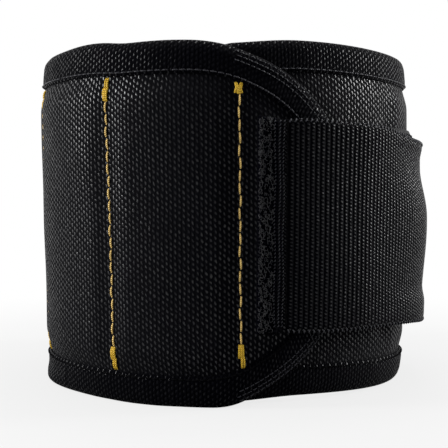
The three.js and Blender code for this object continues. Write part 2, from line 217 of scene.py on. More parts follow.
def joined(*parts):
    # one mesh from several, each given as points, quads, uv and its material's number
    base, points, quads, uvs, marks = 0, [], [], [], []
    for (p, q, uv), mark in parts:
        points.append(p)
        quads.append(q + base)
        uvs.append(uv)
        marks.append(np.full(len(q), mark))
        base += len(p)
    return np.concatenate(points), np.concatenate(quads), np.concatenate(uvs), np.concatenate(marks)


def piece(name, parts, materials, sharp=50):
    # a named object from its parts, millimetres to metres, smooth up to an angle
    points, quads, uv, marks = joined(*parts)
    mesh = bpy.data.meshes.new(name)
    mesh.vertices.add(len(points))
    mesh.vertices.foreach_set("co", (points * 0.001).astype(np.float32).ravel())
    mesh.loops.add(quads.size)
    mesh.loops.foreach_set("vertex_index", quads.astype(np.int32).ravel())
    mesh.polygons.add(len(quads))
    mesh.polygons.foreach_set("loop_start", np.arange(0, quads.size, 4, dtype=np.int32))
    mesh.polygons.foreach_set("material_index", marks.astype(np.int32))
    layer = mesh.uv_layers.new(name="cloth")
    layer.data.foreach_set("uv", (uv[quads.ravel()] * 0.001).astype(np.float32).ravel())
    mesh.update(calc_edges=True)
    mesh.validate()
    mesh.shade_smooth()
    mesh.set_sharp_from_angle(angle=math.radians(sharp))
    obj = bpy.data.objects.new(name, mesh)
    scene.collection.objects.link(obj)
    for material in materials:
        mesh.materials.append(material)
    return obj


cuts = []


def cut(obj, flat, held, *rests):
    # notes a soft piece, its flat grid in millimetres, how it is held and what it lies on
    cuts.append((obj, flat, held, rests))


def crossFold(obj, k):
    # cloth at seam k, between the two panels beside it: bakes its transform into its mesh
    middle = ringPoint(band["seams"][k], 0.0, 0.0)
    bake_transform(obj)


# Materials

def linear(code):
    # sRGB hex to linear
    c = np.array([int(code[i:i + 2], 16) for i in (1, 3, 5)]) / 255
    return (*np.where(c <= 0.04045, c / 12.92, ((c + 0.055) / 1.055) ** 2.4), 1.0)


def put(tree, kind, links=None, **settings):
    # adds a node; links maps its inputs to sockets or values
    made = tree.nodes.new("ShaderNode" + kind)
    for key, value in settings.items():
        setattr(made, key, value)
    for key, value in (links or {}).items():
        if isinstance(value, bpy.types.NodeSocket):
            tree.links.new(value, made.inputs[key])
        else:
            made.inputs[key].default_value = value
    return made.outputs[0]


def wire(tree, surface, patterns):
    # leads each pattern into the surface shader
    for key, socket in patterns.items():
        tree.links.new(socket, surface.inputs[key])


def cloth(name, roughness, specular, sheen=0.0):
    # a material with its surface shader and UV place, ready for a pattern
    material = bpy.data.materials.new(name)
    material.use_nodes = True
    tree = material.node_tree
    surface = tree.nodes["Principled BSDF"]
    surface.inputs["Roughness"].default_value = roughness
    surface.inputs["Specular IOR Level"].default_value = specular
    surface.inputs["Sheen Weight"].default_value = sheen
    surface.inputs["Sheen Roughness"].default_value = 0.5
    place = put(tree, "UVMap", uv_map="cloth")
    return material, tree, surface, place


# yarn sizes in millimetres; least, base, crest, shine and gloss are shares
# the gap colour is painted shade between the yarns, and dark sets how steeply the yarn colour falls to it
# with the yarn's height
nylonLook = {
    "column": 1.1, "bead": 1.45, "float": 0.8, "weft": 0.35, "level": 0.4, "slant": 0.55, "stray": 0.75,
    "least": 0.3, "gapShade": "#040406", "yarn": "#0b0b10", "dark": 1.8, "base": 1.0, "shine": 0.6, "crest": 0.36,
    "relief": 0.12, "gloss": 0.7}
tapeLook = {
    "column": 1.05, "bead": 1.35, "float": 0.7, "weft": 0.4, "level": 0.5, "slant": 0.45, "stray": 0.6,
    "least": 0.2, "gapShade": "#010103", "yarn": "#06060a", "dark": 1.8, "base": 1.0, "shine": 0.68, "crest": 0.3,
    "relief": 0.17, "gloss": 0.21}
elasticLook = {
    "rib": 1.28, "bead": 0.885, "dip": 0.7, "slant": 0.6, "stray": (0.25, 0.7),
    "least": 0.2, "gapShade": "#010103", "yarn": "#04040a", "dark": 3.4, "base": 1.0, "shine": 0.68,
    "crest": 0.28, "relief": 0.2, "gloss": 0.5}
hemLook = {**elasticLook, "least": 0.0, "shine": 0.9, "gloss": 0.12}


def makeWeave(name, look):
    # upright columns of long beads of yarn, each column half a bead off the next,
    # and a low crossing yarn in each gap
    material, tree, surface, place = cloth(name, look["base"], look["gloss"])
    perMetre = (1000 / look["column"], 1000 / look["bead"], 1.0)
    scaled = put(tree, "VectorMath", {0: place, 1: perMetre}, operation="MULTIPLY")
    wander = put(tree, "TexNoise", {"Vector": scaled, "Scale": 0.7, "Detail": 2.0}).node.outputs["Color"]
    stray = (look["stray"], look["stray"], 0.0)
    shifted = put(tree, "VectorMath", {0: wander, 1: stray, 2: scaled}, operation="MULTIPLY_ADD")
    split = put(tree, "SeparateXYZ", {0: shifted}).node
    column = put(tree, "Math", {0: split.outputs["X"]}, operation="FLOOR")
    part = put(tree, "Math", {0: split.outputs["X"]}, operation="FRACT")
    inside = put(tree, "Math", {0: part, 1: 0.5}, operation="SUBTRACT")
    halfTurn = put(tree, "Math", {0: inside, 1: math.pi}, operation="MULTIPLY")
    across = put(tree, "Math", {0: halfTurn}, operation="COSINE")
    step = put(tree, "Math", {0: column, 1: 0.5, 2: split.outputs["Y"]}, operation="MULTIPLY_ADD")
    rank = put(tree, "Math", {0: inside, 1: look["slant"], 2: step}, operation="MULTIPLY_ADD")
    turned = put(tree, "Math", {0: rank, 1: math.pi}, operation="MULTIPLY")
    waves = []
    for way in ("SINE", "COSINE"):
        wave = put(tree, "Math", {0: turned}, operation=way)
        waves.append(put(tree, "Math", {0: wave}, operation="ABSOLUTE"))
    bead = put(tree, "Math", {0: waves[0], 1: look["float"]}, operation="POWER")
    warp = put(tree, "Math", {0: across, 1: bead}, operation="MULTIPLY")
    gap = put(tree, "Math", {0: waves[1], 1: 2.6}, operation="POWER")
    breadth = put(tree, "Math", {0: across, 1: 0.5}, operation="POWER")
    crossing = put(tree, "Math", {0: gap, 1: breadth}, operation="MULTIPLY")
    low = put(tree, "Math", {0: crossing, 1: look["weft"]}, operation="MULTIPLY")
    height = put(tree, "Math", {0: warp, 1: low}, operation="MAXIMUM")
    level = put(tree, "Math", {0: crossing, 1: look["level"]}, operation="MULTIPLY")
    top = put(tree, "Math", {0: warp, 1: level}, operation="MAXIMUM")
    row = put(tree, "Math", {0: rank}, operation="FLOOR")
    lot = put(tree, "CombineXYZ", {0: column, 1: row})
    chance = put(tree, "TexWhiteNoise", {"Vector": lot}, noise_dimensions="2D")
    return yarnFinish(material, tree, surface, look, shifted, height, top, chance)


def yarnFinish(material, tree, surface, look, place, height, top, chance):
    # filaments in the yarns, lighter and darker stretches of the cloth, and painted shade in the gaps between
    # the yarns, where the yarn colour falls to the gap colour
    filaments = put(tree, "TexNoise", {"Vector": place, "Scale": 5.0, "Detail": 3.0})
    relief = put(tree, "Math", {0: filaments, 1: 0.06, 2: height}, operation="MULTIPLY_ADD")
    patches = put(tree, "TexNoise", {"Vector": place, "Scale": 0.15, "Detail": 4.0})
    # the lower the yarn, the nearer its colour to the gap colour: painted shade in the gaps and grooves
    steep = put(tree, "Math", {0: height, 1: look["dark"]}, operation="POWER")
    shade = put(tree, "Math", {0: steep, 1: patches}, operation="MULTIPLY")
    bright = put(tree, "Math", {0: shade, 1: 1.9}, operation="MULTIPLY", use_clamp=True)
    mixed = put(tree, "Mix", {0: bright, 6: linear(look["gapShade"]), 7: linear(look["yarn"])}, data_type="RGBA")
    colour = mixed.node.outputs[2]
    # only the crests of the yarns shine, some more than others
    above = {"Value": top, "From Min": look["shine"], "From Max": 0.97}
    crest = put(tree, "MapRange", above, interpolation_type="SMOOTHSTEP")
    spark = put(tree, "MapRange", {"Value": chance, "To Min": look["least"], "To Max": 1.0})
    gleam = put(tree, "Math", {0: crest, 1: spark}, operation="MULTIPLY")
    polish = {"Value": gleam, "From Max": 0.2, "To Min": look["base"], "To Max": look["crest"]}
    rough = put(tree, "MapRange", polish)
    normal = put(tree, "Bump", {"Height": relief, "Strength": 1.0, "Distance": look["relief"] * 0.001})
    wire(tree, surface, {"Base Color": colour, "Specular Tint": gleam, "Roughness": rough, "Normal": normal})
    return material


def makeRibbed(name, look):
    # woven elastic: upright ribs of slanted beads, like twisted rope, with grooves between them painted in
    # shade
    material, tree, surface, place = cloth(name, look["base"], look["gloss"])
    perMetre = (1000 / look["rib"], 1000 / look["bead"], 1.0)
    scaled = put(tree, "VectorMath", {0: place, 1: perMetre}, operation="MULTIPLY")
    wander = put(tree, "TexNoise", {"Vector": scaled, "Scale": 0.5, "Detail": 2.0}).node.outputs["Color"]
    stray = (*look["stray"], 0.0)
    shifted = put(tree, "VectorMath", {0: wander, 1: stray, 2: scaled}, operation="MULTIPLY_ADD")
    split = put(tree, "SeparateXYZ", {0: shifted}).node
    leaning = {0: split.outputs["X"], 1: look["slant"], 2: split.outputs["Y"]}
    slanted = put(tree, "Math", leaning, operation="MULTIPLY_ADD")
    waves = []
    for way in (split.outputs["X"], slanted):
        turned = put(tree, "Math", {0: way, 1: math.pi}, operation="MULTIPLY")
        wave = put(tree, "Math", {0: turned}, operation="SINE")
        waves.append(put(tree, "Math", {0: wave}, operation="ABSOLUTE"))
    bead = put(tree, "Math", {0: waves[1], 1: look["dip"], 2: 1 - look["dip"]}, operation="MULTIPLY_ADD")
    height = put(tree, "Math", {0: waves[0], 1: bead}, operation="MULTIPLY")
    uneven = put(tree, "TexNoise", {"Vector": shifted, "Scale": 0.8, "Detail": 1.0})
    chance = put(tree, "MapRange", {"Value": uneven, "From Min": 0.3, "From Max": 0.65})
    return yarnFinish(material, tree, surface, look, shifted, height, height, chance)


# cell in millimetres, fuzz in tufts to the millimetre
meshLook = {"cell": 2.6, "fuzz": 2.2, "holeShade": "#040405", "knit": "#26262a", "relief": 0.7}


def makeAirMesh():
    # knitted air mesh: rows of round holes in a soft knit, every other row half a cell along; the holes are
    # painted in shade
    material, tree, surface, place = cloth("air mesh", 0.8, 0.3, 0.2)
    tall = meshLook["cell"] * math.sqrt(3)
    near = []
    for offset in (0.0, 0.5):
        moved = {0: place, 1: (1000 / meshLook["cell"], 1000 / tall, 1.0), 2: (offset, offset, 0.0)}
        scaled = put(tree, "VectorMath", moved, operation="MULTIPLY_ADD")
        inCell = put(tree, "VectorMath", {0: scaled}, operation="FRACTION")
        centred = put(tree, "VectorMath", {0: inCell, 1: (0.5, 0.5, 0.0)}, operation="SUBTRACT")
        sized = put(tree, "VectorMath", {0: centred, 1: (1.0, math.sqrt(3), 0.0)}, operation="MULTIPLY")
        near.append(put(tree, "VectorMath", {0: sized}, operation="LENGTH").node.outputs["Value"])
    distance = put(tree, "Math", {0: near[0], 1: near[1]}, operation="MINIMUM")
    rim = {"Value": distance, "From Min": 0.2, "From Max": 0.42}
    knit = put(tree, "MapRange", rim, interpolation_type="SMOOTHSTEP")
    fuzz = put(tree, "TexNoise", {"Vector": place, "Scale": 1000 * meshLook["fuzz"], "Detail": 3.0})
    height = put(tree, "Math", {0: fuzz, 1: 0.3, 2: knit}, operation="MULTIPLY_ADD")
    # the knit's colour, falling to painted shade in the holes
    colours = {0: knit, 6: linear(meshLook["holeShade"]), 7: linear(meshLook["knit"])}
    mixed = put(tree, "Mix", colours, data_type="RGBA")
    colour = mixed.node.outputs[2]
    normal = put(tree, "Bump", {"Height": height, "Strength": 1.0, "Distance": meshLook["relief"] * 0.001})
    wire(tree, surface, {"Base Color": colour, "Normal": normal})
    return material


def makeThread(name, dark, light, roughness=0.45, gloss=0.15, twist=0.5):
    # bonded polyester thread: plies twisted round each other, with a soft shine; each ply is painted lighter
    # along its top and darker between plies, as painted highlight and painted shade
    material, tree, surface, place = cloth(name, roughness, gloss)
    split = put(tree, "SeparateXYZ", {0: place}).node
    turned = put(tree, "Math", {0: split.outputs["X"], 1: 2000 * math.pi / twist}, operation="MULTIPLY")
    ply = put(tree, "Math", {0: split.outputs["Y"], 1: 1000 / 0.3 * 2, 2: turned}, operation="MULTIPLY_ADD")
    sine = put(tree, "Math", {0: ply}, operation="SINE")
    wave = put(tree, "Math", {0: sine, 1: 0.5, 2: 0.5}, operation="MULTIPLY_ADD")
    mixed = put(tree, "Mix", {0: wave, 6: linear(dark), 7: linear(light)}, data_type="RGBA")
    colour = mixed.node.outputs[2]
    normal = put(tree, "Bump", {"Height": wave, "Strength": 0.6, "Distance": 0.00012})
    wire(tree, surface, {"Base Color": colour, "Normal": normal})
    return material


def makeNap(name, dark, light, grain, roughness, sheen):
    # brushed or moulded fine surface: mottled by its own grain in millimetres
    material, tree, surface = cloth(name, roughness, 0.35, sheen)[:3]
    where = put(tree, "TexCoord").node.outputs["Object"]
    noise = put(tree, "TexNoise", {"Vector": where, "Scale": 1000 / grain, "Detail": 4.0})
    mixed = put(tree, "Mix", {0: noise, 6: linear(dark), 7: linear(light)}, data_type="RGBA")
    colour = mixed.node.outputs[2]
    normal = put(tree, "Bump", {"Height": noise, "Strength": 0.8, "Distance": 0.0003})
    wire(tree, surface, {"Base Color": colour, "Normal": normal})
    return material


def makeNickel():
    # nickel plate on a sintered magnet: bright, a little scuffed, about 0.9 marks to the millimetre
    material, tree, surface = cloth("nickel plate", 0.28, 0.5)[:3]
    surface.inputs["Metallic"].default_value = 1.0
    where = put(tree, "TexCoord").node.outputs["Object"]
    scuffs = put(tree, "TexNoise", {"Vector": where, "Scale": 1000 * 0.9, "Detail": 4.0})
    mixed = put(tree, "Mix", {0: scuffs, 6: linear("#a3a2a0"), 7: linear("#c4c3bf")}, data_type="RGBA")
    colour = mixed.node.outputs[2]
    rough = put(tree, "MapRange", {"Value": scuffs, "To Min": 0.2, "To Max": 0.4})
    wire(tree, surface, {"Base Color": colour, "Roughness": rough})
    return material


# ballistic nylon glints on every crossing, twill tape is finer, and the elastic's ribs are beaded
nylon = makeWeave("ballistic nylon", nylonLook)
tape = makeWeave("twill tape", tapeLook)
elastic = makeRibbed("woven elastic", elasticLook)
hemWebbing = makeRibbed("black folded elastic", hemLook)
airMesh = makeAirMesh()
# each thread's lighter colour is a painted highlight along its plies, its darker one painted shade between
# them
yellowThread = makeThread("yellow bonded thread", "#866010", "#f4d68c")
tackThread = makeThread("yellow embroidery thread", "#7c6010", "#e2ba3e")
blackThread = makeThread("black bonded thread", "#020203", "#08080a", 0.8, 0.03)
greyThread = makeThread("black textured thread", "#0c0c0f", "#34343a", 0.45, 0.25)
curlThread = makeThread("black overlock thread", "#0f0f10", "#424245", 0.4, 0.3)
foam = makeNap("closed cell foam", "#2a2a2d", "#47474b", 0.8, 0.9, 0.0)
loopNap = makeNap("brushed loop pile", "#040405", "#0f0f11", 0.5, 0.9, 0.05)
hookPlastic = makeNap("moulded nylon hooks", "#0a0a0b", "#171718", 0.7, 0.5, 0.0)
nickel = makeNickel()
print("materials made:", len(bpy.data.materials))


# Cloth panels: outer shell and lining, each piece from the middle of one panel to the middle of the next

cloths = {"crown": 1.0, "rise": 6.0, "leaf": 8.0, "shell": 0.8, "foam": 2.4, "lining": 1.0, "gap": 0.3,
          "cell": 1.0, "puckerPitch": 3.0}


def fullness(s, h):
    # no padding at the seams and under the tape, all of it a few millimetres in from them
    rise = cloths["rise"]
    edge = smooth(edgeDistance(s, h) - cloths["leaf"], -0.5, rise)
    limit = (band["paddingEnd"] - 360) * degreeArc
    pad = edge * smooth(np.minimum(seamDistance(s), s - limit), 0.2, rise)
    return np.where(s < limit, 0.0, pad)


def ripple(s, h):
    # shallow waves of sewn cloth, and puckers beside the seams at the pitch of the stitches
    waves = 0.16 * np.sin(s / 6.1 + h / 9.7) + 0.13 * np.sin(h / 6.3 - s / 11.0 + 1.3)
    waves = waves + 0.1 * np.sin(h / 3.9 + s / 4.7)
    near = bump(seamDistance(s), 2.2, 1.6)
    puckers = 0.12 * near * np.sin(h * 2 * math.pi / cloths["puckerPitch"])
    return (waves * smooth(edgeDistance(s, h), 6.0, 16.0) * smooth(seamDistance(s), 1.0, 9.0)
            + puckers * smooth(edgeDistance(s, h), 8.0, 11.0))


def faceDepth(s, h):
    # the outer cloth: crowned by the padding, with its ripples
    return cloths["crown"] * fullness(s, h) + ripple(s, h) * 0.7


def patch(left, right, lower, upper):
    # a sheet spanned between four edges: each side's blend, less the blend of the corners
    u = np.linspace(0, 1, len(lower))[:, None, None]
    v = np.linspace(0, 1, len(left))[None, :, None]
    across = (1 - u) * left[None] + u * right[None]
    along = (1 - v) * lower[:, None] + v * upper[:, None]
    corners = (1 - u) * ((1 - v) * left[0] + v * left[-1]) + u * ((1 - v) * right[0] + v * right[-1])
    return across + along - corners


def evenPath(points, count):
    # the same path with its points evenly spaced
    points = np.asarray(points, float)
    run = runLength(points)
    at = np.linspace(0, run[-1], count)
    return np.stack([np.interp(at, run, points[:, i]) for i in (0, 1)], -1)


def arcPoints(centre, radius, first, last, count=60):
    # points on a circle between two angles
    angle = np.linspace(first, last, count)
    return np.stack([centre[0] + radius * np.cos(angle), centre[1] + radius * np.sin(angle)], -1)


def clothArea(k, inset):
    # the flat area of piece k as a grid of (s, h), within the outline less an inset
    seams = band["seams"]
    tall = band["half"] - inset
    heights = np.stack([np.zeros(89), np.linspace(-tall, tall, 89)], -1)
    flip = np.array([1.0, -1.0])
    if k == 0:
        low = (seams[0] + seams[1]) / 2
        corner = math.radians(48)
        top = np.concatenate([[[low, tall]], arcPoints((tongueCentre, 0), tall, math.pi / 2, corner)])
        upper = evenPath(top, 48)
        right = evenPath(arcPoints((tongueCentre, 0), tall, -corner, corner), 89)
        return patch(heights + (low, 0), right, upper * flip, upper)
    if k == 5:
        high = (seams[4] + seams[5]) / 2
        tip = band["loopTip"] + inset
        corner = band["loopCorner"] - inset
        bend = (tip + corner, tall - corner)
        top = np.concatenate([arcPoints(bend, corner, math.pi * 0.75, math.pi / 2), [[high, tall]]])
        upper = evenPath(top, 150)
        upperHalf = np.concatenate([[[tip, 0]], arcPoints(bend, corner, math.pi, math.pi * 0.75)])
        left = evenPath(np.concatenate([(upperHalf * flip)[::-1], upperHalf[1:]]), 89)
        return patch(left, heights + (high, 0), upper * flip, upper)
    low, high = (seams[k] + seams[k + 1]) / 2, (seams[k] + seams[k - 1]) / 2
    columns = np.linspace(low, high, int((high - low) / cloths["cell"]) + 1)
    s, h = np.meshgrid(columns, heights[:, 1], indexing="ij")
    if k == 1:
        # the tongue's round shoulder already begins in the front pocket
        shoulder = np.sqrt(np.maximum(tall ** 2 - np.maximum(s - tongueCentre, 0) ** 2, 0))
        h = h / tall * shoulder
    return np.stack([s, h], -1)


pocketShells = [(f"pocket_{i}_shell",) for i in range(2, 6)]
shellNodes = [("tongue_shell", "pocket_1_shell"), *pocketShells, ("loop_end_shell",)]
liningNodes = [tuple(n.replace("shell", "lining") for n in names) for names in shellNodes]
padNames = [f"foam_pad_{k}" for k in ("tongue", 1, 2, 3, 4, 5, "loop_end")]
for k in range(6):
    area = clothArea(k, band["clothInset"])
    s, h = area[..., 0], area[..., 1]
    outer = faceDepth(s, h)
    shell = slab(bandPoint(s, h, outer), bandPoint(s, h, outer - cloths["shell"]), area)
    obj = piece(f"shell_{k + 1}", [(shell, 0)], [nylon])
    crossFold(obj, k)
    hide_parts(*shellNodes[k])
    cut(obj, area, "stretched", *padNames[k:k + 2])
    full = fullness(s, h)
    foamDepth = (cloths["foam"] + cloths["gap"]) * full
    inside = cloths["crown"] * full - cloths["shell"] - cloths["gap"] - foamDepth
    soft = ripple(s + 3.0, h) * 0.6 - 0.1
    lining = slab(bandPoint(s, h, inside - 0.1), bandPoint(s, h, inside + soft - cloths["lining"]), area)
    obj = piece(f"lining_{k + 1}", [(lining, 0)], [airMesh])
    crossFold(obj, k)
    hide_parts(*liningNodes[k])
    cut(obj, area, "stretched", *padNames[k:k + 2])
print("cloth panels made")


# Binding tape folded over every edge, with a row of black lock stitches near its inner edge

tapeFold = {"outer": 1.0, "inner": -3.2, "thick": 0.7, "leaf": 8.0, "back": 3.3,
            "stitch": 1.9, "row": 0.7, "thread": 0.17,
            "floats": (0.9, 2.0, 3.2), "floatStart": 3.0, "floatPitch": 1.5, "float": 0.13}


def tapeProfile(count=30):
    # outside and inside of the fold as (depth, distance in from the edge): two leaves and a round back
    middle, half = (tapeFold["outer"] + tapeFold["inner"]) / 2, (tapeFold["outer"] - tapeFold["inner"]) / 2
    leaf = tapeFold["leaf"]
    turn = np.linspace(0, math.pi, count // 2)
    side = np.linspace(1, 0, count // 4)[:-1]
    fall = 0.42 * (1 - np.sqrt(np.clip(1 - ((side - 0.75) / 0.25).clip(0, 1) ** 2, 0, 1)))
    fall = fall + 0.2 * side ** 1.5
    puff = 0.12 * np.sin(math.pi * side)
    back = tapeFold["back"]
    away = back + side * (leaf - back)
    outside = np.concatenate([
        np.stack([tapeFold["outer"] - fall + puff, away], -1),
        np.stack([middle + half * np.cos(turn), back - back * np.sin(turn)], -1),
        np.stack([(tapeFold["inner"] + fall - puff), away], -1)[::-1]])
    thin = tapeFold["thick"]
    inBack = back - thin
    inside = np.concatenate([
        np.stack([np.full_like(side, tapeFold["outer"] - thin), away], -1),
        np.stack([middle + (half - thin) * np.cos(turn), back - inBack * np.sin(turn)], -1),
        np.stack([np.full_like(side, tapeFold["inner"] + thin), away], -1)[::-1]])
    return outside, inside


def tapeStrip(places, ways, floats=()):
    # the fold carried along an edge; the leaf's edge is drawn in a little at each stitch
    outside, inside = tapeProfile()
    run = runLength(places)
    wave = 0.13 * np.cos(run * 2 * math.pi / tapeFold["stitch"])[:, None]
    sway = 0.1 * np.sin(run / 5.3)[:, None] + 0.07 * np.sin(run / 2.1)[:, None]
    faces = []
    for profile in (outside, inside):
        inwards = profile[None, :, 1] + wave * (profile[None, :, 1] / tapeFold["leaf"]) ** 3
        s = places[:, :1] + ways[:, :1] * inwards
        h = places[:, 1:] + ways[:, 1:] * inwards
        pushed = np.sign(profile[None, :, 0] + 1.05) * sway * (inwards > 1.5)
        faces.append(bandPoint(s, h, profile[None, :, 0] + pushed * 0.7))
    across = runLength(outside)
    uv = np.stack(np.broadcast_arrays(run[:, None], across[None]), -1)
    strip = slab(faces[0], faces[1], uv)
    # stitches on both leaves, each a low arch of thread with its ends drawn in
    count = int(run[-1] / tapeFold["stitch"])
    steps = np.linspace(0, 1, 6)
    at = (np.arange(count)[:, None] + 0.5 + (steps - 0.5) * 0.8) * tapeFold["stitch"]
    edge = [np.interp(at, run, a) for a in (places[:, 0], places[:, 1], ways[:, 0], ways[:, 1])]
    away = tapeFold["leaf"] - tapeFold["row"]
    s, h = edge[0] + edge[2] * away, edge[1] + edge[3] * away
    arch = 0.25 * np.sin(math.pi * steps) - 0.3
    sewing = []
    for face, side in ((tapeFold["outer"], 1.0), (tapeFold["inner"], -1.0)):
        depth = face + side * (arch + 0.1)
        for mark, kept in ((1, h[:, 0] > 0), (2, h[:, 0] <= 0)):
            if kept.any():
                sewing.append((threads(bandPoint, s[kept], h[kept], depth, tapeFold["thread"]), mark))
    # floats of yarn on the fold, in rows along the edge: each row's angle on the round back gives its depth
    middle, half = (tapeFold["outer"] + tapeFold["inner"]) / 2, (tapeFold["outer"] - tapeFold["inner"]) / 2
    for nth, away in enumerate(floats):
        count = int(run[-1] / tapeFold["floatPitch"])
        first = 0.25 + 0.5 * (nth % 2)
        at = (np.arange(count)[:, None] + first + (steps - 0.5) * 0.7) * tapeFold["floatPitch"]
        edge = [np.interp(at, run, a) for a in (places[:, 0], places[:, 1], ways[:, 0], ways[:, 1])]
        turn = math.asin(1 - away / tapeFold["back"])
        rise = 0.16 * np.sin(math.pi * steps) - 0.06
        s, h = (edge[i] + edge[i + 2] * (away - rise * math.sin(turn)) for i in (0, 1))
        kept = edge[0][:, 0] > tapeFold["floatStart"]
        s, h = s[kept], h[kept]
        depth = middle + (half + rise) * math.cos(turn)
        sewing.append((threads(bandPoint, s, h, depth, tapeFold["float"]), 1))
    return [(strip, 0), *sewing], uv


def edgeRun(first, last, side, step=1.0):
    # a length of the band's edge, with the direction in from it; the shoulder of the tongue included
    s = np.linspace(first, last, int(abs(last - first) / step) + 1)
    tall = np.sqrt(np.maximum(band["half"] ** 2 - np.maximum(s - tongueCentre, 0) ** 2, 0))
    return np.stack([s, side * tall], -1), np.stack([0 * s, 0 * s - side], -1)


def aimed(places, target):
    # unit directions from each place to its target
    ways = target - places
    return ways / np.linalg.norm(ways, axis=1, keepdims=True)


def bindEdge(name, k, nodes, places, ways, floats=()):
    # a length of tape over the edge of cloth piece k
    parts, flat = tapeStrip(places, ways, floats)
    obj = piece(name, parts, [tape, greyThread, blackThread])
    cut(obj, flat, "folded", f"shell_{k + 1}", f"lining_{k + 1}")
    crossFold(obj, k)
    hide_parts(*nodes)


seams = band["seams"]
middles = [(a + b) / 2 for a, b in zip(seams[:-1], seams[1:])]
for k in range(1, 5):
    for label, side in (("top", 1.0), ("bottom", -1.0)):
        ends = (middles[k - 1], middles[k]) if side > 0 else (middles[k], middles[k - 1])
        bindEdge(f"binding_{label}_{k + 1}", k, [f"pocket_{k + 1}_binding_{label}"], *edgeRun(*ends, side))

# the tongue's tape starts and ends in the front pocket; its inward direction aims at the seam's middle
low = edgeRun(middles[0], tongueCentre, -1.0)
sweep = arcPoints((tongueCentre, 0), band["half"], -math.pi / 2, math.pi / 2, 143)[1:-1]
high = edgeRun(tongueCentre, middles[0], 1.0)
aim = np.stack([np.clip(sweep[:, 0], tongueCentre, seams[0]), np.zeros(len(sweep))], -1)
places = np.concatenate([low[0], sweep, high[0]])
ways = np.concatenate([low[1], aimed(sweep, aim), high[1]])
nodes = ("tongue_binding", "pocket_1_binding_top", "pocket_1_binding_bottom")
bindEdge("binding_tongue", 0, nodes, places, ways, tapeFold["floats"])

tip, corner = band["loopTip"], band["loopCorner"]
top = edgeRun(middles[-1], tip + corner, 1.0)
bend = np.array([tip + corner, band["half"] - corner])
turnIn = arcPoints(bend, corner, math.pi / 2, math.pi, 24)[1:]
end = np.stack([np.full(65, tip), np.linspace(bend[1], -bend[1], 65)], -1)[1:-1]
flip = np.array([1.0, -1.0])
turnOut = (turnIn * flip)[::-1]
bottom = (top[0] * flip)[::-1], (top[1] * flip)[::-1]
places = np.concatenate([top[0], turnIn, end, turnOut, bottom[0]])
inEnd = np.tile([1.0, 0.0], (len(end), 1))
ways = np.concatenate([top[1], aimed(turnIn, bend), inEnd, aimed(turnOut, bend * flip), bottom[1]])
bindEdge("binding_loop_end", 5, ["loop_end_binding"], places, ways)
print("binding tape made")


# Yellow lock stitching down every seam, with a double tack at each end

stitching = {"pitch": 3.0, "slant": 0.019, "thread": 0.25, "reach": 36.6, "shorter": 1.9, "tack": 5.6}
# each tack's lengths of thread: from, to, places across and how far they splay
longTack = ((0.0, 3.2, (-0.5, 0.0, 0.5), 0.1), (2.9, 5.5, (0.15, 0.75), 0.1))
knotTack = ((3.0, 5.6, (-0.5, -0.15, 0.2, 0.55), 0.6), (3.2, 5.0, (-0.7, -0.1, 0.5), -0.6))


def stitchLine(s0, reach, seed, topTack, footTack):
    # a row of low arches of thread, each leaning a little its own way
    span = reach - stitching["tack"]
    ends = (-span - footTack[0][0], span + topTack[0][0])
    count = int((ends[1] - ends[0]) / stitching["pitch"])
    steps = np.linspace(0, 1, 8)
    n = np.arange(count)[:, None]
    h = ends[0] + (ends[1] - ends[0]) * (n + 0.5 + (steps - 0.5) * 0.9) / count
    lean = 0.16 * np.sin(n * 2.4 + seed) + 0.12 * (steps - 0.5) * np.where(n % 2, 1, -1)
    s = s0 + lean - stitching["slant"] * h + 0.25 * np.sin(h / 17.0 + seed)
    depth = 0.5 * np.sin(math.pi * steps) ** 0.6 - 0.26 + 0 * h
    radius = stitching["thread"] * (0.75 + 0.25 * np.sin(math.pi * steps)) + 0 * h
    stitches = [(s, h, depth, radius)]
    # tacks: a wide piece over the last stitches, then a narrower one beside it
    knots = []
    for side, tack in ((1.0, topTack), (-1.0, footTack)):
        for first, last, offsets, slant in tack:
            across = np.array(offsets)[:, None]
            h = side * (span + first + (last - first) * steps) + 0 * across
            splay = slant * (steps - 0.5) * np.sign(across)
            s = s0 + across - stitching["slant"] * h + splay + 0.25 * np.sin(h / 17.0 + seed)
            depth = 0.5 * np.sin(math.pi * steps) ** 0.5 - 0.25 + 0.15 * (1 - np.abs(across)) + 0 * h
            radius = stitching["thread"] * 1.05 + 0 * h
            knots.append((s, h, depth, radius))
    parts = []
    for mark, sets in enumerate((stitches, knots)):
        s, h, depth, radius = (np.concatenate([one[i] for one in sets]) for i in range(4))
        parts.append((threads(bandPoint, s, h, depth + 0.05, radius), mark))
    return parts


for k, seam in enumerate(seams):
    # the tongue's seam is shorter and ends in a knot
    reach = stitching["reach"] - (stitching["shorter"] if k == 0 else 0.0)
    line = stitchLine(seam, reach, k * 1.7, knotTack if k == 0 else longTack, longTack)
    obj = piece(f"stitching_{k + 1}", line, [yellowThread, tackThread])
    crossFold(obj, k)
    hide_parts(f"stitch_line_{k + 1}")
print("yellow stitching made")


# Elastic strap: ribbed, hemmed at both ends, sewn to the tongue and closed on the loop panel

strap = {"width": 52.2, "thick": 1.6, "start": 8.6, "hinge": 40.5, "tipHinge": 84.0, "end": 127.0,
         "corner": 9.0, "hem": 5.0, "ridge": 1.75, "rise": 0.6, "tilt": 0.048, "onTongue": 1.4, "onHook": 4.9,
         "rib": 1.28, "ribHeight": 0.2, "selvedge": 0.18, "bow": 0.9, "tuck": 1.5, "lip": 0.7, "flare": 0.9,
         "sink": 1.7, "drawUp": 1.0, "dimple": 0.5, "neck": 0.7}


def strapSeat(s):
    # over the tongue as it flares, then out to the hook and loop
    rest = strap["onTongue"] + swing(np.minimum(s, band["tongueTip"]))
    way = smooth(s, strap["hinge"] * degreeArc, strap["tipHinge"] * degreeArc)
    return rest + (strap["onHook"] - rest) * way


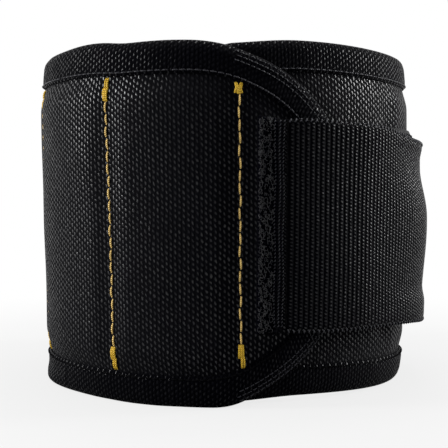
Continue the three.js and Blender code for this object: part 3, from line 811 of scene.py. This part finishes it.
def strapMiddle(s):
    # height of its middle line, which falls evenly towards the back
    return strap["rise"] - strap["tilt"] * (s / degreeArc - strap["start"])


def strapHalf(s):
    # half its width, less a quarter circle at each corner of the tip
    past = np.clip(s - (strap["end"] * degreeArc - strap["corner"]), 0, strap["corner"])
    return strap["width"] / 2 - strap["corner"] + np.sqrt(strap["corner"] ** 2 - past ** 2)


def strapBow(s, v):
    # where it hangs free it bows out at mid-width, tucks in below its upper edge
    # and flares at its lower one
    degrees = s / degreeArc
    free = smooth(degrees, 42.0, 66.0)
    loose = free * (1 - smooth(degrees, 85.0, 97.0))
    bow = strap["bow"] * bump(v, 0.0, 0.5) * free * (1 - smooth(degrees, 92.0, 112.0))
    tuck = -strap["tuck"] * smooth(v, 0.15, 0.7) + strap["lip"] * smooth(v, 0.8, 1.0)
    return bow + loose * (tuck + strap["flare"] * smooth(-v, 0.6, 0.8))


def strapSlip(s, v):
    # both edges draw in at the side: the upper one sinks, the lower one rises and comes down again
    degrees = s / degreeArc
    back = 1 - smooth(degrees, 84.0, 104.0)
    upper = strap["sink"] * smooth(degrees, 42.0, 68.0) * back + strap["dimple"] * bump(degrees, 15.5, 4.0)
    lower = strap["drawUp"] * smooth(degrees, 20.0, 55.0) * (1 - 0.7 * smooth(degrees, 60.0, 80.0)) * back
    return upper * smooth(v, 0.3, 1.0) - lower * smooth(-v, 0.3, 1.0)


def strapPiece(first, last):
    # a grid fine enough for eight points to a rib; ribs stand on the outside, and the ends are folded under
    first, last = first * degreeArc, last * degreeArc
    s = np.linspace(first, last, int((last - first) / strap["rib"] * 8) + 1)[:, None]
    v = np.linspace(-1, 1, 53)[None]
    start, finish = strap["start"] * degreeArc, strap["end"] * degreeArc
    neck = strap["neck"] * (v < 0) * (1 - smooth(s, start + 5.0, start + 7.0))
    h = strapMiddle(s) + v * (strapHalf(s) + neck) - strapSlip(s, v)
    hem = np.maximum(1 - smooth(s, start + strap["hem"] - 0.6, start + strap["hem"] + 0.6),
                     smooth(s, finish - strap["hem"] - 0.6, finish - strap["hem"] + 0.6))
    groove = bump(s, start + strap["hem"] + 1.6, 0.7) + bump(s, finish - strap["hem"] - 1.6, 0.7)
    rib = np.abs(np.sin(s * math.pi / strap["rib"])) ** 0.7
    # the folded hem: three uneven ridges, broken along their length
    waver = 0.25 * np.sin(h / 2.3) + 0.2 * np.sin(h * 1.9)
    ridge = np.sin((s - start) * math.pi / strap["ridge"] + waver) ** 2 * (1 + 0.35 * np.sin(h * 2.6 + s))
    rib = rib * (1 - hem) + 1.3 * ridge * hem
    edge = smooth(1 - np.abs(v), 0.0, 0.05)
    bow = strapBow(s, v)
    seat = strapSeat(s) + bow + 0.1 * np.sin(h / 7.0 + s / 9.0)
    endRound = np.minimum(smooth(s, start - 0.01, start + 0.9), 1 - smooth(s, finish - 0.9, finish + 0.01))
    thick = strap["thick"] - 0.35 + 0.55 * hem - 0.35 * groove
    thick = thick * (0.55 + 0.45 * edge) * (0.6 + 0.4 * endRound)
    outer = seat + thick + strap["ribHeight"] * rib * (0.4 + 0.6 * edge)
    area = np.stack(np.broadcast_arrays(s, h), -1)
    return slab(ringPoint(s, h, outer), ringPoint(s, h, seat + 0.1 * (1 - edge)), area), area


def strapFold(obj, degrees):
    # elastic between two bodies at an angle round the ring: bakes its transform into its mesh
    middle = ringPoint(degrees * degreeArc, 0.0, 5.0)
    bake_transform(obj)


def selvedge(first, last):
    # slanted loops of yarn over both long edges, one to a rib
    steps = np.linspace(0, 1, 5)
    ribs = np.arange(first * degreeArc + strap["rib"] / 2, last * degreeArc, strap["rib"])
    at = ribs[:, None] + 0.5 * (steps - 0.5)
    edges = []
    for side in (1.0, -1.0):
        h = strapMiddle(at) + side * (strapHalf(at) - 0.75 + 0.8 * steps) - strapSlip(at, side)
        bow = strapBow(at, side * (1 - 0.03 * (1 - steps)))
        out = bow + 1.2 + 0.25 * np.sin(math.pi * steps) - 0.35 * steps
        edges.append((threads(ringPoint, at, h, strapSeat(at) + out, strap["selvedge"]), 1))
    return edges


split = (strap["hinge"] + strap["tipHinge"]) / 2
hemEnd = strap["start"] + 7.0 / degreeArc
webbing, flat = strapPiece(strap["start"], split)
onHem = webbing[2][webbing[1][:, 0], 0] < strap["start"] * degreeArc + strap["hem"] + 0.8
parts = [(webbing, np.where(onHem, 2, 0)), *selvedge(hemEnd, split)]
obj = piece("strap_front", parts, [elastic, greyThread, hemWebbing], 60)
cut(obj, flat, "stretched", "shell_1", "binding_tongue")
strapFold(obj, strap["hinge"])
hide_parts("strap_root", "strap_middle")
webbing, flat = strapPiece(split, strap["end"])
parts = [(webbing, 0), *selvedge(split, strap["end"] - 12)]
obj = piece("strap_back", parts, [elastic, greyThread], 60)
cut(obj, flat, "stretched", "loop_panel_cloth")
strapFold(obj, strap["tipHinge"])
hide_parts("strap_tip")

# Sewing on the hem: a row in the groove behind it, three dotted rows on it,
# and curls of overlock thread before them
hemThreads = {"row": 6.9, "pitch": 2.6, "thread": 0.2, "dotRows": (3.8, 4.9, 5.8), "dotPitch": 0.87,
              "dot": 0.11, "curls": 420, "curlReach": 3.1, "curl": 0.05, "curlSize": 0.4}


def scatter(seed, *shape):
    # even pseudo-random numbers from a fixed seed
    return np.random.default_rng(seed).random(shape)


def onStrap(s, h, depth, thread):
    # threads at a depth above the strap's seat
    s, h, depth = np.broadcast_arrays(s, h, depth)
    return threads(ringPoint, s, h, strapSeat(s) + depth, thread)


def hemRow(pitch, share):
    # heights along a row of stitches, each filling a share of its pitch
    count = int(tall / pitch)
    return hemMiddle + tall * ((np.arange(count)[:, None] + 0.5 + (steps - 0.5) * share) / count - 0.5)


steps = np.linspace(0, 1, 5)
arch = 0.3 * np.sin(math.pi * steps)
hemStart = strap["start"] * degreeArc
hemMiddle = strapMiddle(hemStart)
tall = strap["width"] - 2.0
h = hemRow(hemThreads["pitch"], 0.85)
sets = [(onStrap(hemStart + hemThreads["row"], h, 1.0 + arch, hemThreads["thread"]), 0)]
for row in hemThreads["dotRows"]:
    h = hemRow(hemThreads["dotPitch"], 0.5)
    slant = hemStart + row + 0.25 * (steps - 0.5) + 0.12 * np.sin(h / 3.1 + row)
    sets.append((onStrap(slant, h, 1.95 + arch, hemThreads["dot"]), 1))
steps = np.linspace(0, 1, 8)
where = scatter(3, hemThreads["curls"], 5)[:, :, None]
sweep = 2 * math.pi * where[:, 2] + math.pi * (0.8 + 0.7 * where[:, 3]) * steps
spread = (np.arange(hemThreads["curls"])[:, None] + where[:, 1]) / hemThreads["curls"]
size = hemThreads["curlSize"] * (0.5 + 0.8 * where[:, 4])
s = hemStart + 0.3 + hemThreads["curlReach"] * where[:, 0] ** 1.4 + 0.75 * size * np.cos(sweep)
h = hemMiddle - 0.3 + (tall + 1.4) * (spread - 0.5) + 1.3 * size * np.sin(sweep)
depth = 1.85 + 0.4 * np.sin(math.pi * steps) + 0.25 * where[:, 3]
sets.append((onStrap(s, h, depth, hemThreads["curl"]), 2))
obj = piece("strap_stitching_rows", sets, [blackThread, greyThread, curlThread])
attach(obj, "tongue")
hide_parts("strap_stitching")
print("strap made")


# Hook patch inside the strap's tip, loop panel on the band

closure = {"hookStart": 86.0, "hookEnd": 125.0, "hookWidth": 44.0, "hookPitch": 1.7, "hook": 0.14,
           "base": 0.7, "loopStart": 46.0, "loopMargin": 5.2, "loopWidth": 52.2, "loopDrop": 1.1,
           "loopPitch": 1.5, "loop": 0.11, "rim": 1.5}


s = np.linspace(closure["hookStart"], closure["hookEnd"], 48)[:, None] * degreeArc
v = np.linspace(-1, 1, 45)[None]
half = np.minimum(closure["hookWidth"] / 2, strapHalf(s) - 2)
h = strapMiddle(s) + v * half
top = strap["onHook"] - cloths["gap"] - 0.2
tuck = 0.5 * np.minimum(strapBow(s, 0.84 * v), 0)
flat = np.stack(np.broadcast_arrays(s, h), -1)
base = slab(ringPoint(s, h, top + tuck), ringPoint(s, h, top + tuck - closure["base"]), flat)
first, last = closure["hookStart"] * degreeArc + 1.2, closure["hookEnd"] * degreeArc - 4
across = np.arange(first, last, closure["hookPitch"])
up = np.arange(-closure["hookWidth"] / 2 + 1.2, closure["hookWidth"] / 2 - 1, closure["hookPitch"])
s, v = (a.reshape(-1, 1) for a in np.meshgrid(across, up, indexing="ij"))
keep = (np.abs(v) < strapHalf(s) - 3.4)[:, 0]
s, v = s[keep], v[keep]
steps = np.linspace(0, 1, 6)
lean = np.where((np.arange(len(s))[:, None] // 3) % 2, 0.5, -0.5)
h = strapMiddle(s) + v + lean * np.sin(math.pi * steps * 0.9) * 0.8
depth = top - closure["base"] + 0.1 - 0.75 * np.sin(math.pi * 0.62 * steps) + 0 * s
upright = np.tile([0.0, 0.0, 1.0], (*h.shape, 1)) + 0.01
hooks = tubes(ringPoint(s + 0 * h, h, depth), closure["hook"], upright, 4)
obj = piece("hook_tape", [(base, 0), (hooks, 0)], [hookPlastic])
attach(obj, "strap_tip")
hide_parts("hook_patch")

low, high = (closure["loopStart"] - 360) * degreeArc, lastSeam - closure["loopMargin"]
s = np.linspace(low, high, 96)[:, None]
v = np.linspace(-1, 1, 61)[None]
h = v * closure["loopWidth"] / 2 - closure["loopDrop"]
ends = np.minimum(smooth(s, low, low + closure["rim"]), 1 - smooth(s, high - closure["rim"], high))
rim = np.minimum(smooth(1 - np.abs(v), 0, 0.05), ends)
face = faceDepth(s, h) + 0.3
flat = np.stack(np.broadcast_arrays(s, h), -1)
panel = slab(bandPoint(s, h, face + 0.35 + 0.5 * rim), bandPoint(s, h, face), flat)
obj = piece("loop_panel_cloth", [(panel, 0)], [loopNap])
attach(obj, "loop_end")
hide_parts("loop_panel")
cut(obj, flat, "laid", "shell_6")
cols = np.arange(low + 2.5, high - 2.0, closure["loopPitch"])
rows = np.arange(-closure["loopWidth"] / 2 + 2.5, closure["loopWidth"] / 2 - 2, closure["loopPitch"])
s, v = (a.reshape(-1, 1) for a in np.meshgrid(cols, rows, indexing="ij"))
count = len(s)
nudge = (scatter(7, count, 3) - 0.5)[:, :, None]
turn = scatter(11, count, 1) * 2 * math.pi
wide = 0.55 + 0.3 * nudge[:, 2]
ring = np.linspace(-0.1, 1.1, 7) * math.pi
s = s + nudge[:, 0] + wide * np.cos(ring) * np.cos(turn)
h = v - closure["loopDrop"] + nudge[:, 1] + wide * np.cos(ring) * np.sin(turn)
depth = faceDepth(s, h) + 1.1 + 0.5 * np.sin(ring) + 0.15 * nudge[:, 2]
pile = tubes(bandPoint(s, h, depth), closure["loop"], np.tile([0.3, 0.2, 1.0], (*s.shape, 1)), 4)
sewn = {"inset": 1.4, "pitch": 2.8, "thread": 0.26}
box = np.array([[low, -1], [high, -1], [high, 1], [low, 1], [low, -1]], float)
box[:, 1] *= closure["loopWidth"] / 2
box += np.sign([[1, 1], [-1, 1], [-1, -1], [1, -1], [1, 1]]) * sewn["inset"]
box[:, 1] -= closure["loopDrop"]
run = runLength(box)
count = int(run[-1] / sewn["pitch"])
at = (np.arange(count)[:, None] + 0.5 + (steps - 0.5) * 0.85) * sewn["pitch"]
s, h = np.interp(at, run, box[:, 0]), np.interp(at, run, box[:, 1])
depth = faceDepth(s, h) + 1.05 + 0.28 * np.sin(math.pi * steps)
sewing = threads(bandPoint, s, h, depth, sewn["thread"])
obj = piece("loop_pile", [(pile, 0), (sewing, 1)], [loopNap, blackThread])
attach(obj, "loop_end")
print("hook and loop made")


# Inside the pockets: foam pads with windows for the magnets

padding = {"margin": 3.6, "seamMargin": 6.0, "endMargin": 9.0, "fill": 0.8,
           "magnetWidth": 10.6, "magnetLength": 26.6, "magnetPitch": 29.0,
           # the tongue's own pad, with its angles in radians
           "tongue": {"tall": 26.0, "radius": 33.4, "corner": 0.55, "shoulder": 0.85}}


def foamPad(area, windows=()):
    # fills the room between shell and lining, open where a magnet sits
    s, h = area[..., 0], area[..., 1]
    full = fullness(s, h)
    outer = cloths["crown"] * full - cloths["shell"] - cloths["gap"] - 0.2
    inner = cloths["crown"] * full - cloths["shell"] - (cloths["foam"] + cloths["gap"]) * full + 0.15
    middle = (outer + inner) / 2
    mid = area[:-1, :-1] / 4 + area[1:, :-1] / 4 + area[:-1, 1:] / 4 + area[1:, 1:] / 4
    mask = np.ones(mid.shape[:2], bool)
    for ws, wh in windows:
        within = np.abs(mid - (ws, wh)) < (padding["magnetWidth"] / 2, padding["magnetLength"] / 2)
        mask &= ~within.all(axis=-1)
    face, back = np.maximum(outer, middle + 0.2), np.minimum(inner, middle - 0.2)
    return slab(bandPoint(s, h, face), bandPoint(s, h, back), area, mask)


def padPiece(name, body, pad):
    # one foam pad, carried by its own body
    obj = piece(f"foam_pad_{name}", [(pad, 0)], [foam])
    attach(obj, body)
    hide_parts(f"{body}_foam")


def gridArea(low, high, tall, extraS=(), extraH=()):
    # an even grid of (s, h) with extra lines at the edges of the windows
    s = np.unique(np.concatenate([np.linspace(low, high, 16), extraS]))
    h = np.unique(np.concatenate([np.linspace(-tall, tall, 30), extraH]))
    return np.stack(np.meshgrid(s, h, indexing="ij"), -1)


padTall = band["half"] - cloths["leaf"] - padding["margin"]
for i in range(5):
    low, high = seams[i + 1] + padding["margin"], seams[i] - padding["margin"]
    centre = (low + high) / 2
    pitch, wide, tall = padding["magnetPitch"] / 2, padding["magnetWidth"] / 2, padding["magnetLength"] / 2
    edges = [centre - wide, centre + wide]
    levels = [a * pitch + b * tall for a in (1, -1) for b in (1, -1)]
    area = gridArea(low, high, padTall, edges, levels)
    padPiece(i + 1, f"pocket_{i + 1}", foamPad(area, [(centre, pitch), (centre, -pitch)]))
    for end in ("upper", "lower"):
        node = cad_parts[f"pocket_{i + 1}_magnet_{end}"]
        node.data.materials.clear()
        node.data.materials.append(nickel)
flap = padding["tongue"]
low = seams[0] + padding["margin"]
side = evenPath([[low, -flap["tall"]], [low, flap["tall"]]], 30)
tip = evenPath(arcPoints((tongueCentre, 0), flap["radius"], -flap["corner"], flap["corner"]), 30)
shoulders = []
for way in (-1, 1):
    bend = arcPoints((tongueCentre, 0), flap["radius"], way * flap["shoulder"], way * flap["corner"])
    shoulders.append(evenPath(np.concatenate([[[low, way * flap["tall"]]], bend]), 12))
area = patch(side, tip, *shoulders)
padPiece("tongue", "tongue", foamPad(area))
low = (band["paddingEnd"] - 360) * degreeArc + padding["endMargin"]
area = gridArea(low, lastSeam - padding["seamMargin"], band["half"] - cloths["leaf"] - padding["endMargin"])
padPiece("loop_end", "loop_end", foamPad(area))
print("padding made")


# The flat size that each soft piece was cut to: the box of its grid, and the area of its cells
# by the shoelace formula
for obj, flat, held, rests in cuts:
    a, b, c, d = flat[:-1, :-1], flat[1:, :-1], flat[1:, 1:], flat[:-1, 1:]
    across, along = c - a, d - b
    area = np.abs(across[..., 0] * along[..., 1] - across[..., 1] * along[..., 0]).sum() / 2
    size = np.ptp(flat.reshape(-1, 2), axis=0)
    wide, long = float(size[1]) * 0.001, float(size[0]) * 0.001
print("soft pieces declared:", len(cuts))


# Floor, light and camera

# each softbox: its place, its target and its size in metres, and its power in watts
studio = {"floor": "#8c8c8c", "ambient": 1.0, "front": 0.05, "softboxes": {
    "softbox left": ((-0.6, -0.12, 0.26), (-0.03, 0.0, 0.05), (0.12, 0.3), 4.5),
    "softbox right": ((0.6, 0.04, 0.26), (0.03, 0.0, 0.05), (0.12, 0.3), 4.2),
    "softbox top": ((0.0, 0.06, 0.8), (0.0, 0.0, 0.05), (0.3, 0.3), 3.0)}}

floorRing = np.linspace(0, 2 * math.pi, 97)
floorRows = np.array([0.0, 0.4, 1.2, 4.0])
floorX, floorY = floorRows[:, None] * np.cos(floorRing), floorRows[:, None] * np.sin(floorRing)
floorGrid = np.stack([floorX, floorY, 0 * floorX], -1)
floorMesh = bpy.data.meshes.new("floor")
index = np.arange(4 * 97).reshape(4, 97)
quads = np.stack([index[:-1, :-1], index[1:, :-1], index[1:, 1:], index[:-1, 1:]], -1).reshape(-1, 4)
floorMesh.from_pydata(floorGrid.reshape(-1, 3).tolist(), [], quads.tolist())
floor = bpy.data.objects.new("floor", floorMesh)
scene.collection.objects.link(floor)
floorPaint = bpy.data.materials.new("white paper floor")
floorPaint.use_nodes = True
tree = floorPaint.node_tree
tree.nodes["Principled BSDF"].inputs["Base Color"].default_value = linear(studio["floor"])
tree.nodes["Principled BSDF"].inputs["Roughness"].default_value = 0.9
rays = put(tree, "LightPath").node
where = put(tree, "TexCoord").node.outputs["Object"]
# the cloth reflects white paper behind it, and the dim paper on the camera's side
depthwise = put(tree, "SeparateXYZ", {0: where}).node.outputs["Y"]
beyond = put(tree, "MapRange", {"Value": depthwise, "From Min": -0.02, "From Max": 0.2})
mirrored = put(tree, "Math", {0: rays.outputs["Is Glossy Ray"], 1: beyond}, operation="MULTIPLY")
seen = put(tree, "Math", {0: rays.outputs["Is Camera Ray"], 1: mirrored}, operation="MAXIMUM")
seen = put(tree, "Math", {0: seen, 1: rays.outputs["Is Transmission Ray"]}, operation="MAXIMUM")
away = put(tree, "VectorMath", {0: where}, operation="LENGTH").node.outputs["Value"]
fade = {"Value": away, "From Min": 0.06, "From Max": 0.22, "To Min": 0.8, "To Max": 1.0}
plain = put(tree, "MapRange", fade, interpolation_type="SMOOTHSTEP")
share = put(tree, "Math", {0: seen, 1: plain}, operation="MULTIPLY")
glow = put(tree, "Emission", {"Color": (1.0, 1.0, 1.0, 1.0), "Strength": 1.0})
both = put(tree, "MixShader", {0: share, 1: tree.nodes["Principled BSDF"].outputs[0], 2: glow})
tree.links.new(both, tree.nodes["Material Output"].inputs["Surface"])
floorMesh.materials.append(floorPaint)

world = bpy.data.worlds.new("studio")
world.use_nodes = True
scene.world = world
tree = world.node_tree
tree.nodes.clear()
rays = put(tree, "LightPath").node
direct = {0: rays.outputs["Is Camera Ray"], 1: rays.outputs["Is Glossy Ray"]}
seen = put(tree, "Math", direct, operation="MAXIMUM")
seen = put(tree, "Math", {0: seen, 1: rays.outputs["Is Transmission Ray"]}, operation="MAXIMUM")
# white behind the band, and a dim studio behind the camera for what the cloth reflects
heading = put(tree, "TexCoord").node.outputs["Generated"]
compass = put(tree, "SeparateXYZ", {0: heading}).node.outputs["Y"]
dimmed = {"Value": compass, "From Min": -0.08, "From Max": 0.6, "To Min": studio["front"], "To Max": 1.0}
behind = put(tree, "MapRange", dimmed)
white = put(tree, "Math", {0: behind, 1: rays.outputs["Is Camera Ray"]}, operation="MAXIMUM")
level = put(tree, "Mix", {0: seen, 2: studio["ambient"], 3: white})
sky = put(tree, "Background", {"Color": (1.0, 1.0, 1.0, 1.0), "Strength": level})
tree.links.new(sky, tree.nodes.new("ShaderNodeOutputWorld").inputs["Surface"])

for name, (place, target, size, power) in studio["softboxes"].items():
    lamp = bpy.data.lights.new(name, "AREA")
    lamp.shape = "RECTANGLE"
    lamp.size, lamp.size_y = size
    lamp.energy = power
    obj = bpy.data.objects.new(name, lamp)
    obj.location = place
    way = np.array(target) - np.array(place)
    obj.rotation_euler = (math.acos(-way[2] / np.linalg.norm(way)), 0.0, math.atan2(-way[0], way[1]))
    scene.collection.objects.link(obj)

# the camera's place in millimetres and its pitch in radians, with the focal length in pixels of the frame
view = {"distance": 288.0, "height": 56.1, "pitch": 0.0445, "focal": 977.0, "frame": 448.0}
lens = bpy.data.cameras.new("camera")
lens.sensor_width = 36.0
lens.lens = view["focal"] / view["frame"] * 36.0
lens.clip_start = 0.01
camera = bpy.data.objects.new("camera", lens)
eye = (band["axis"][0], band["axis"][1] - view["distance"], view["height"])
camera.location = [c * 0.001 for c in eye]
camera.rotation_euler = (math.pi / 2 - view["pitch"], 0.0, 0.0)
scene.collection.objects.link(camera)
scene.camera = camera
scene.view_settings.view_transform = "Standard"
print("studio ready")
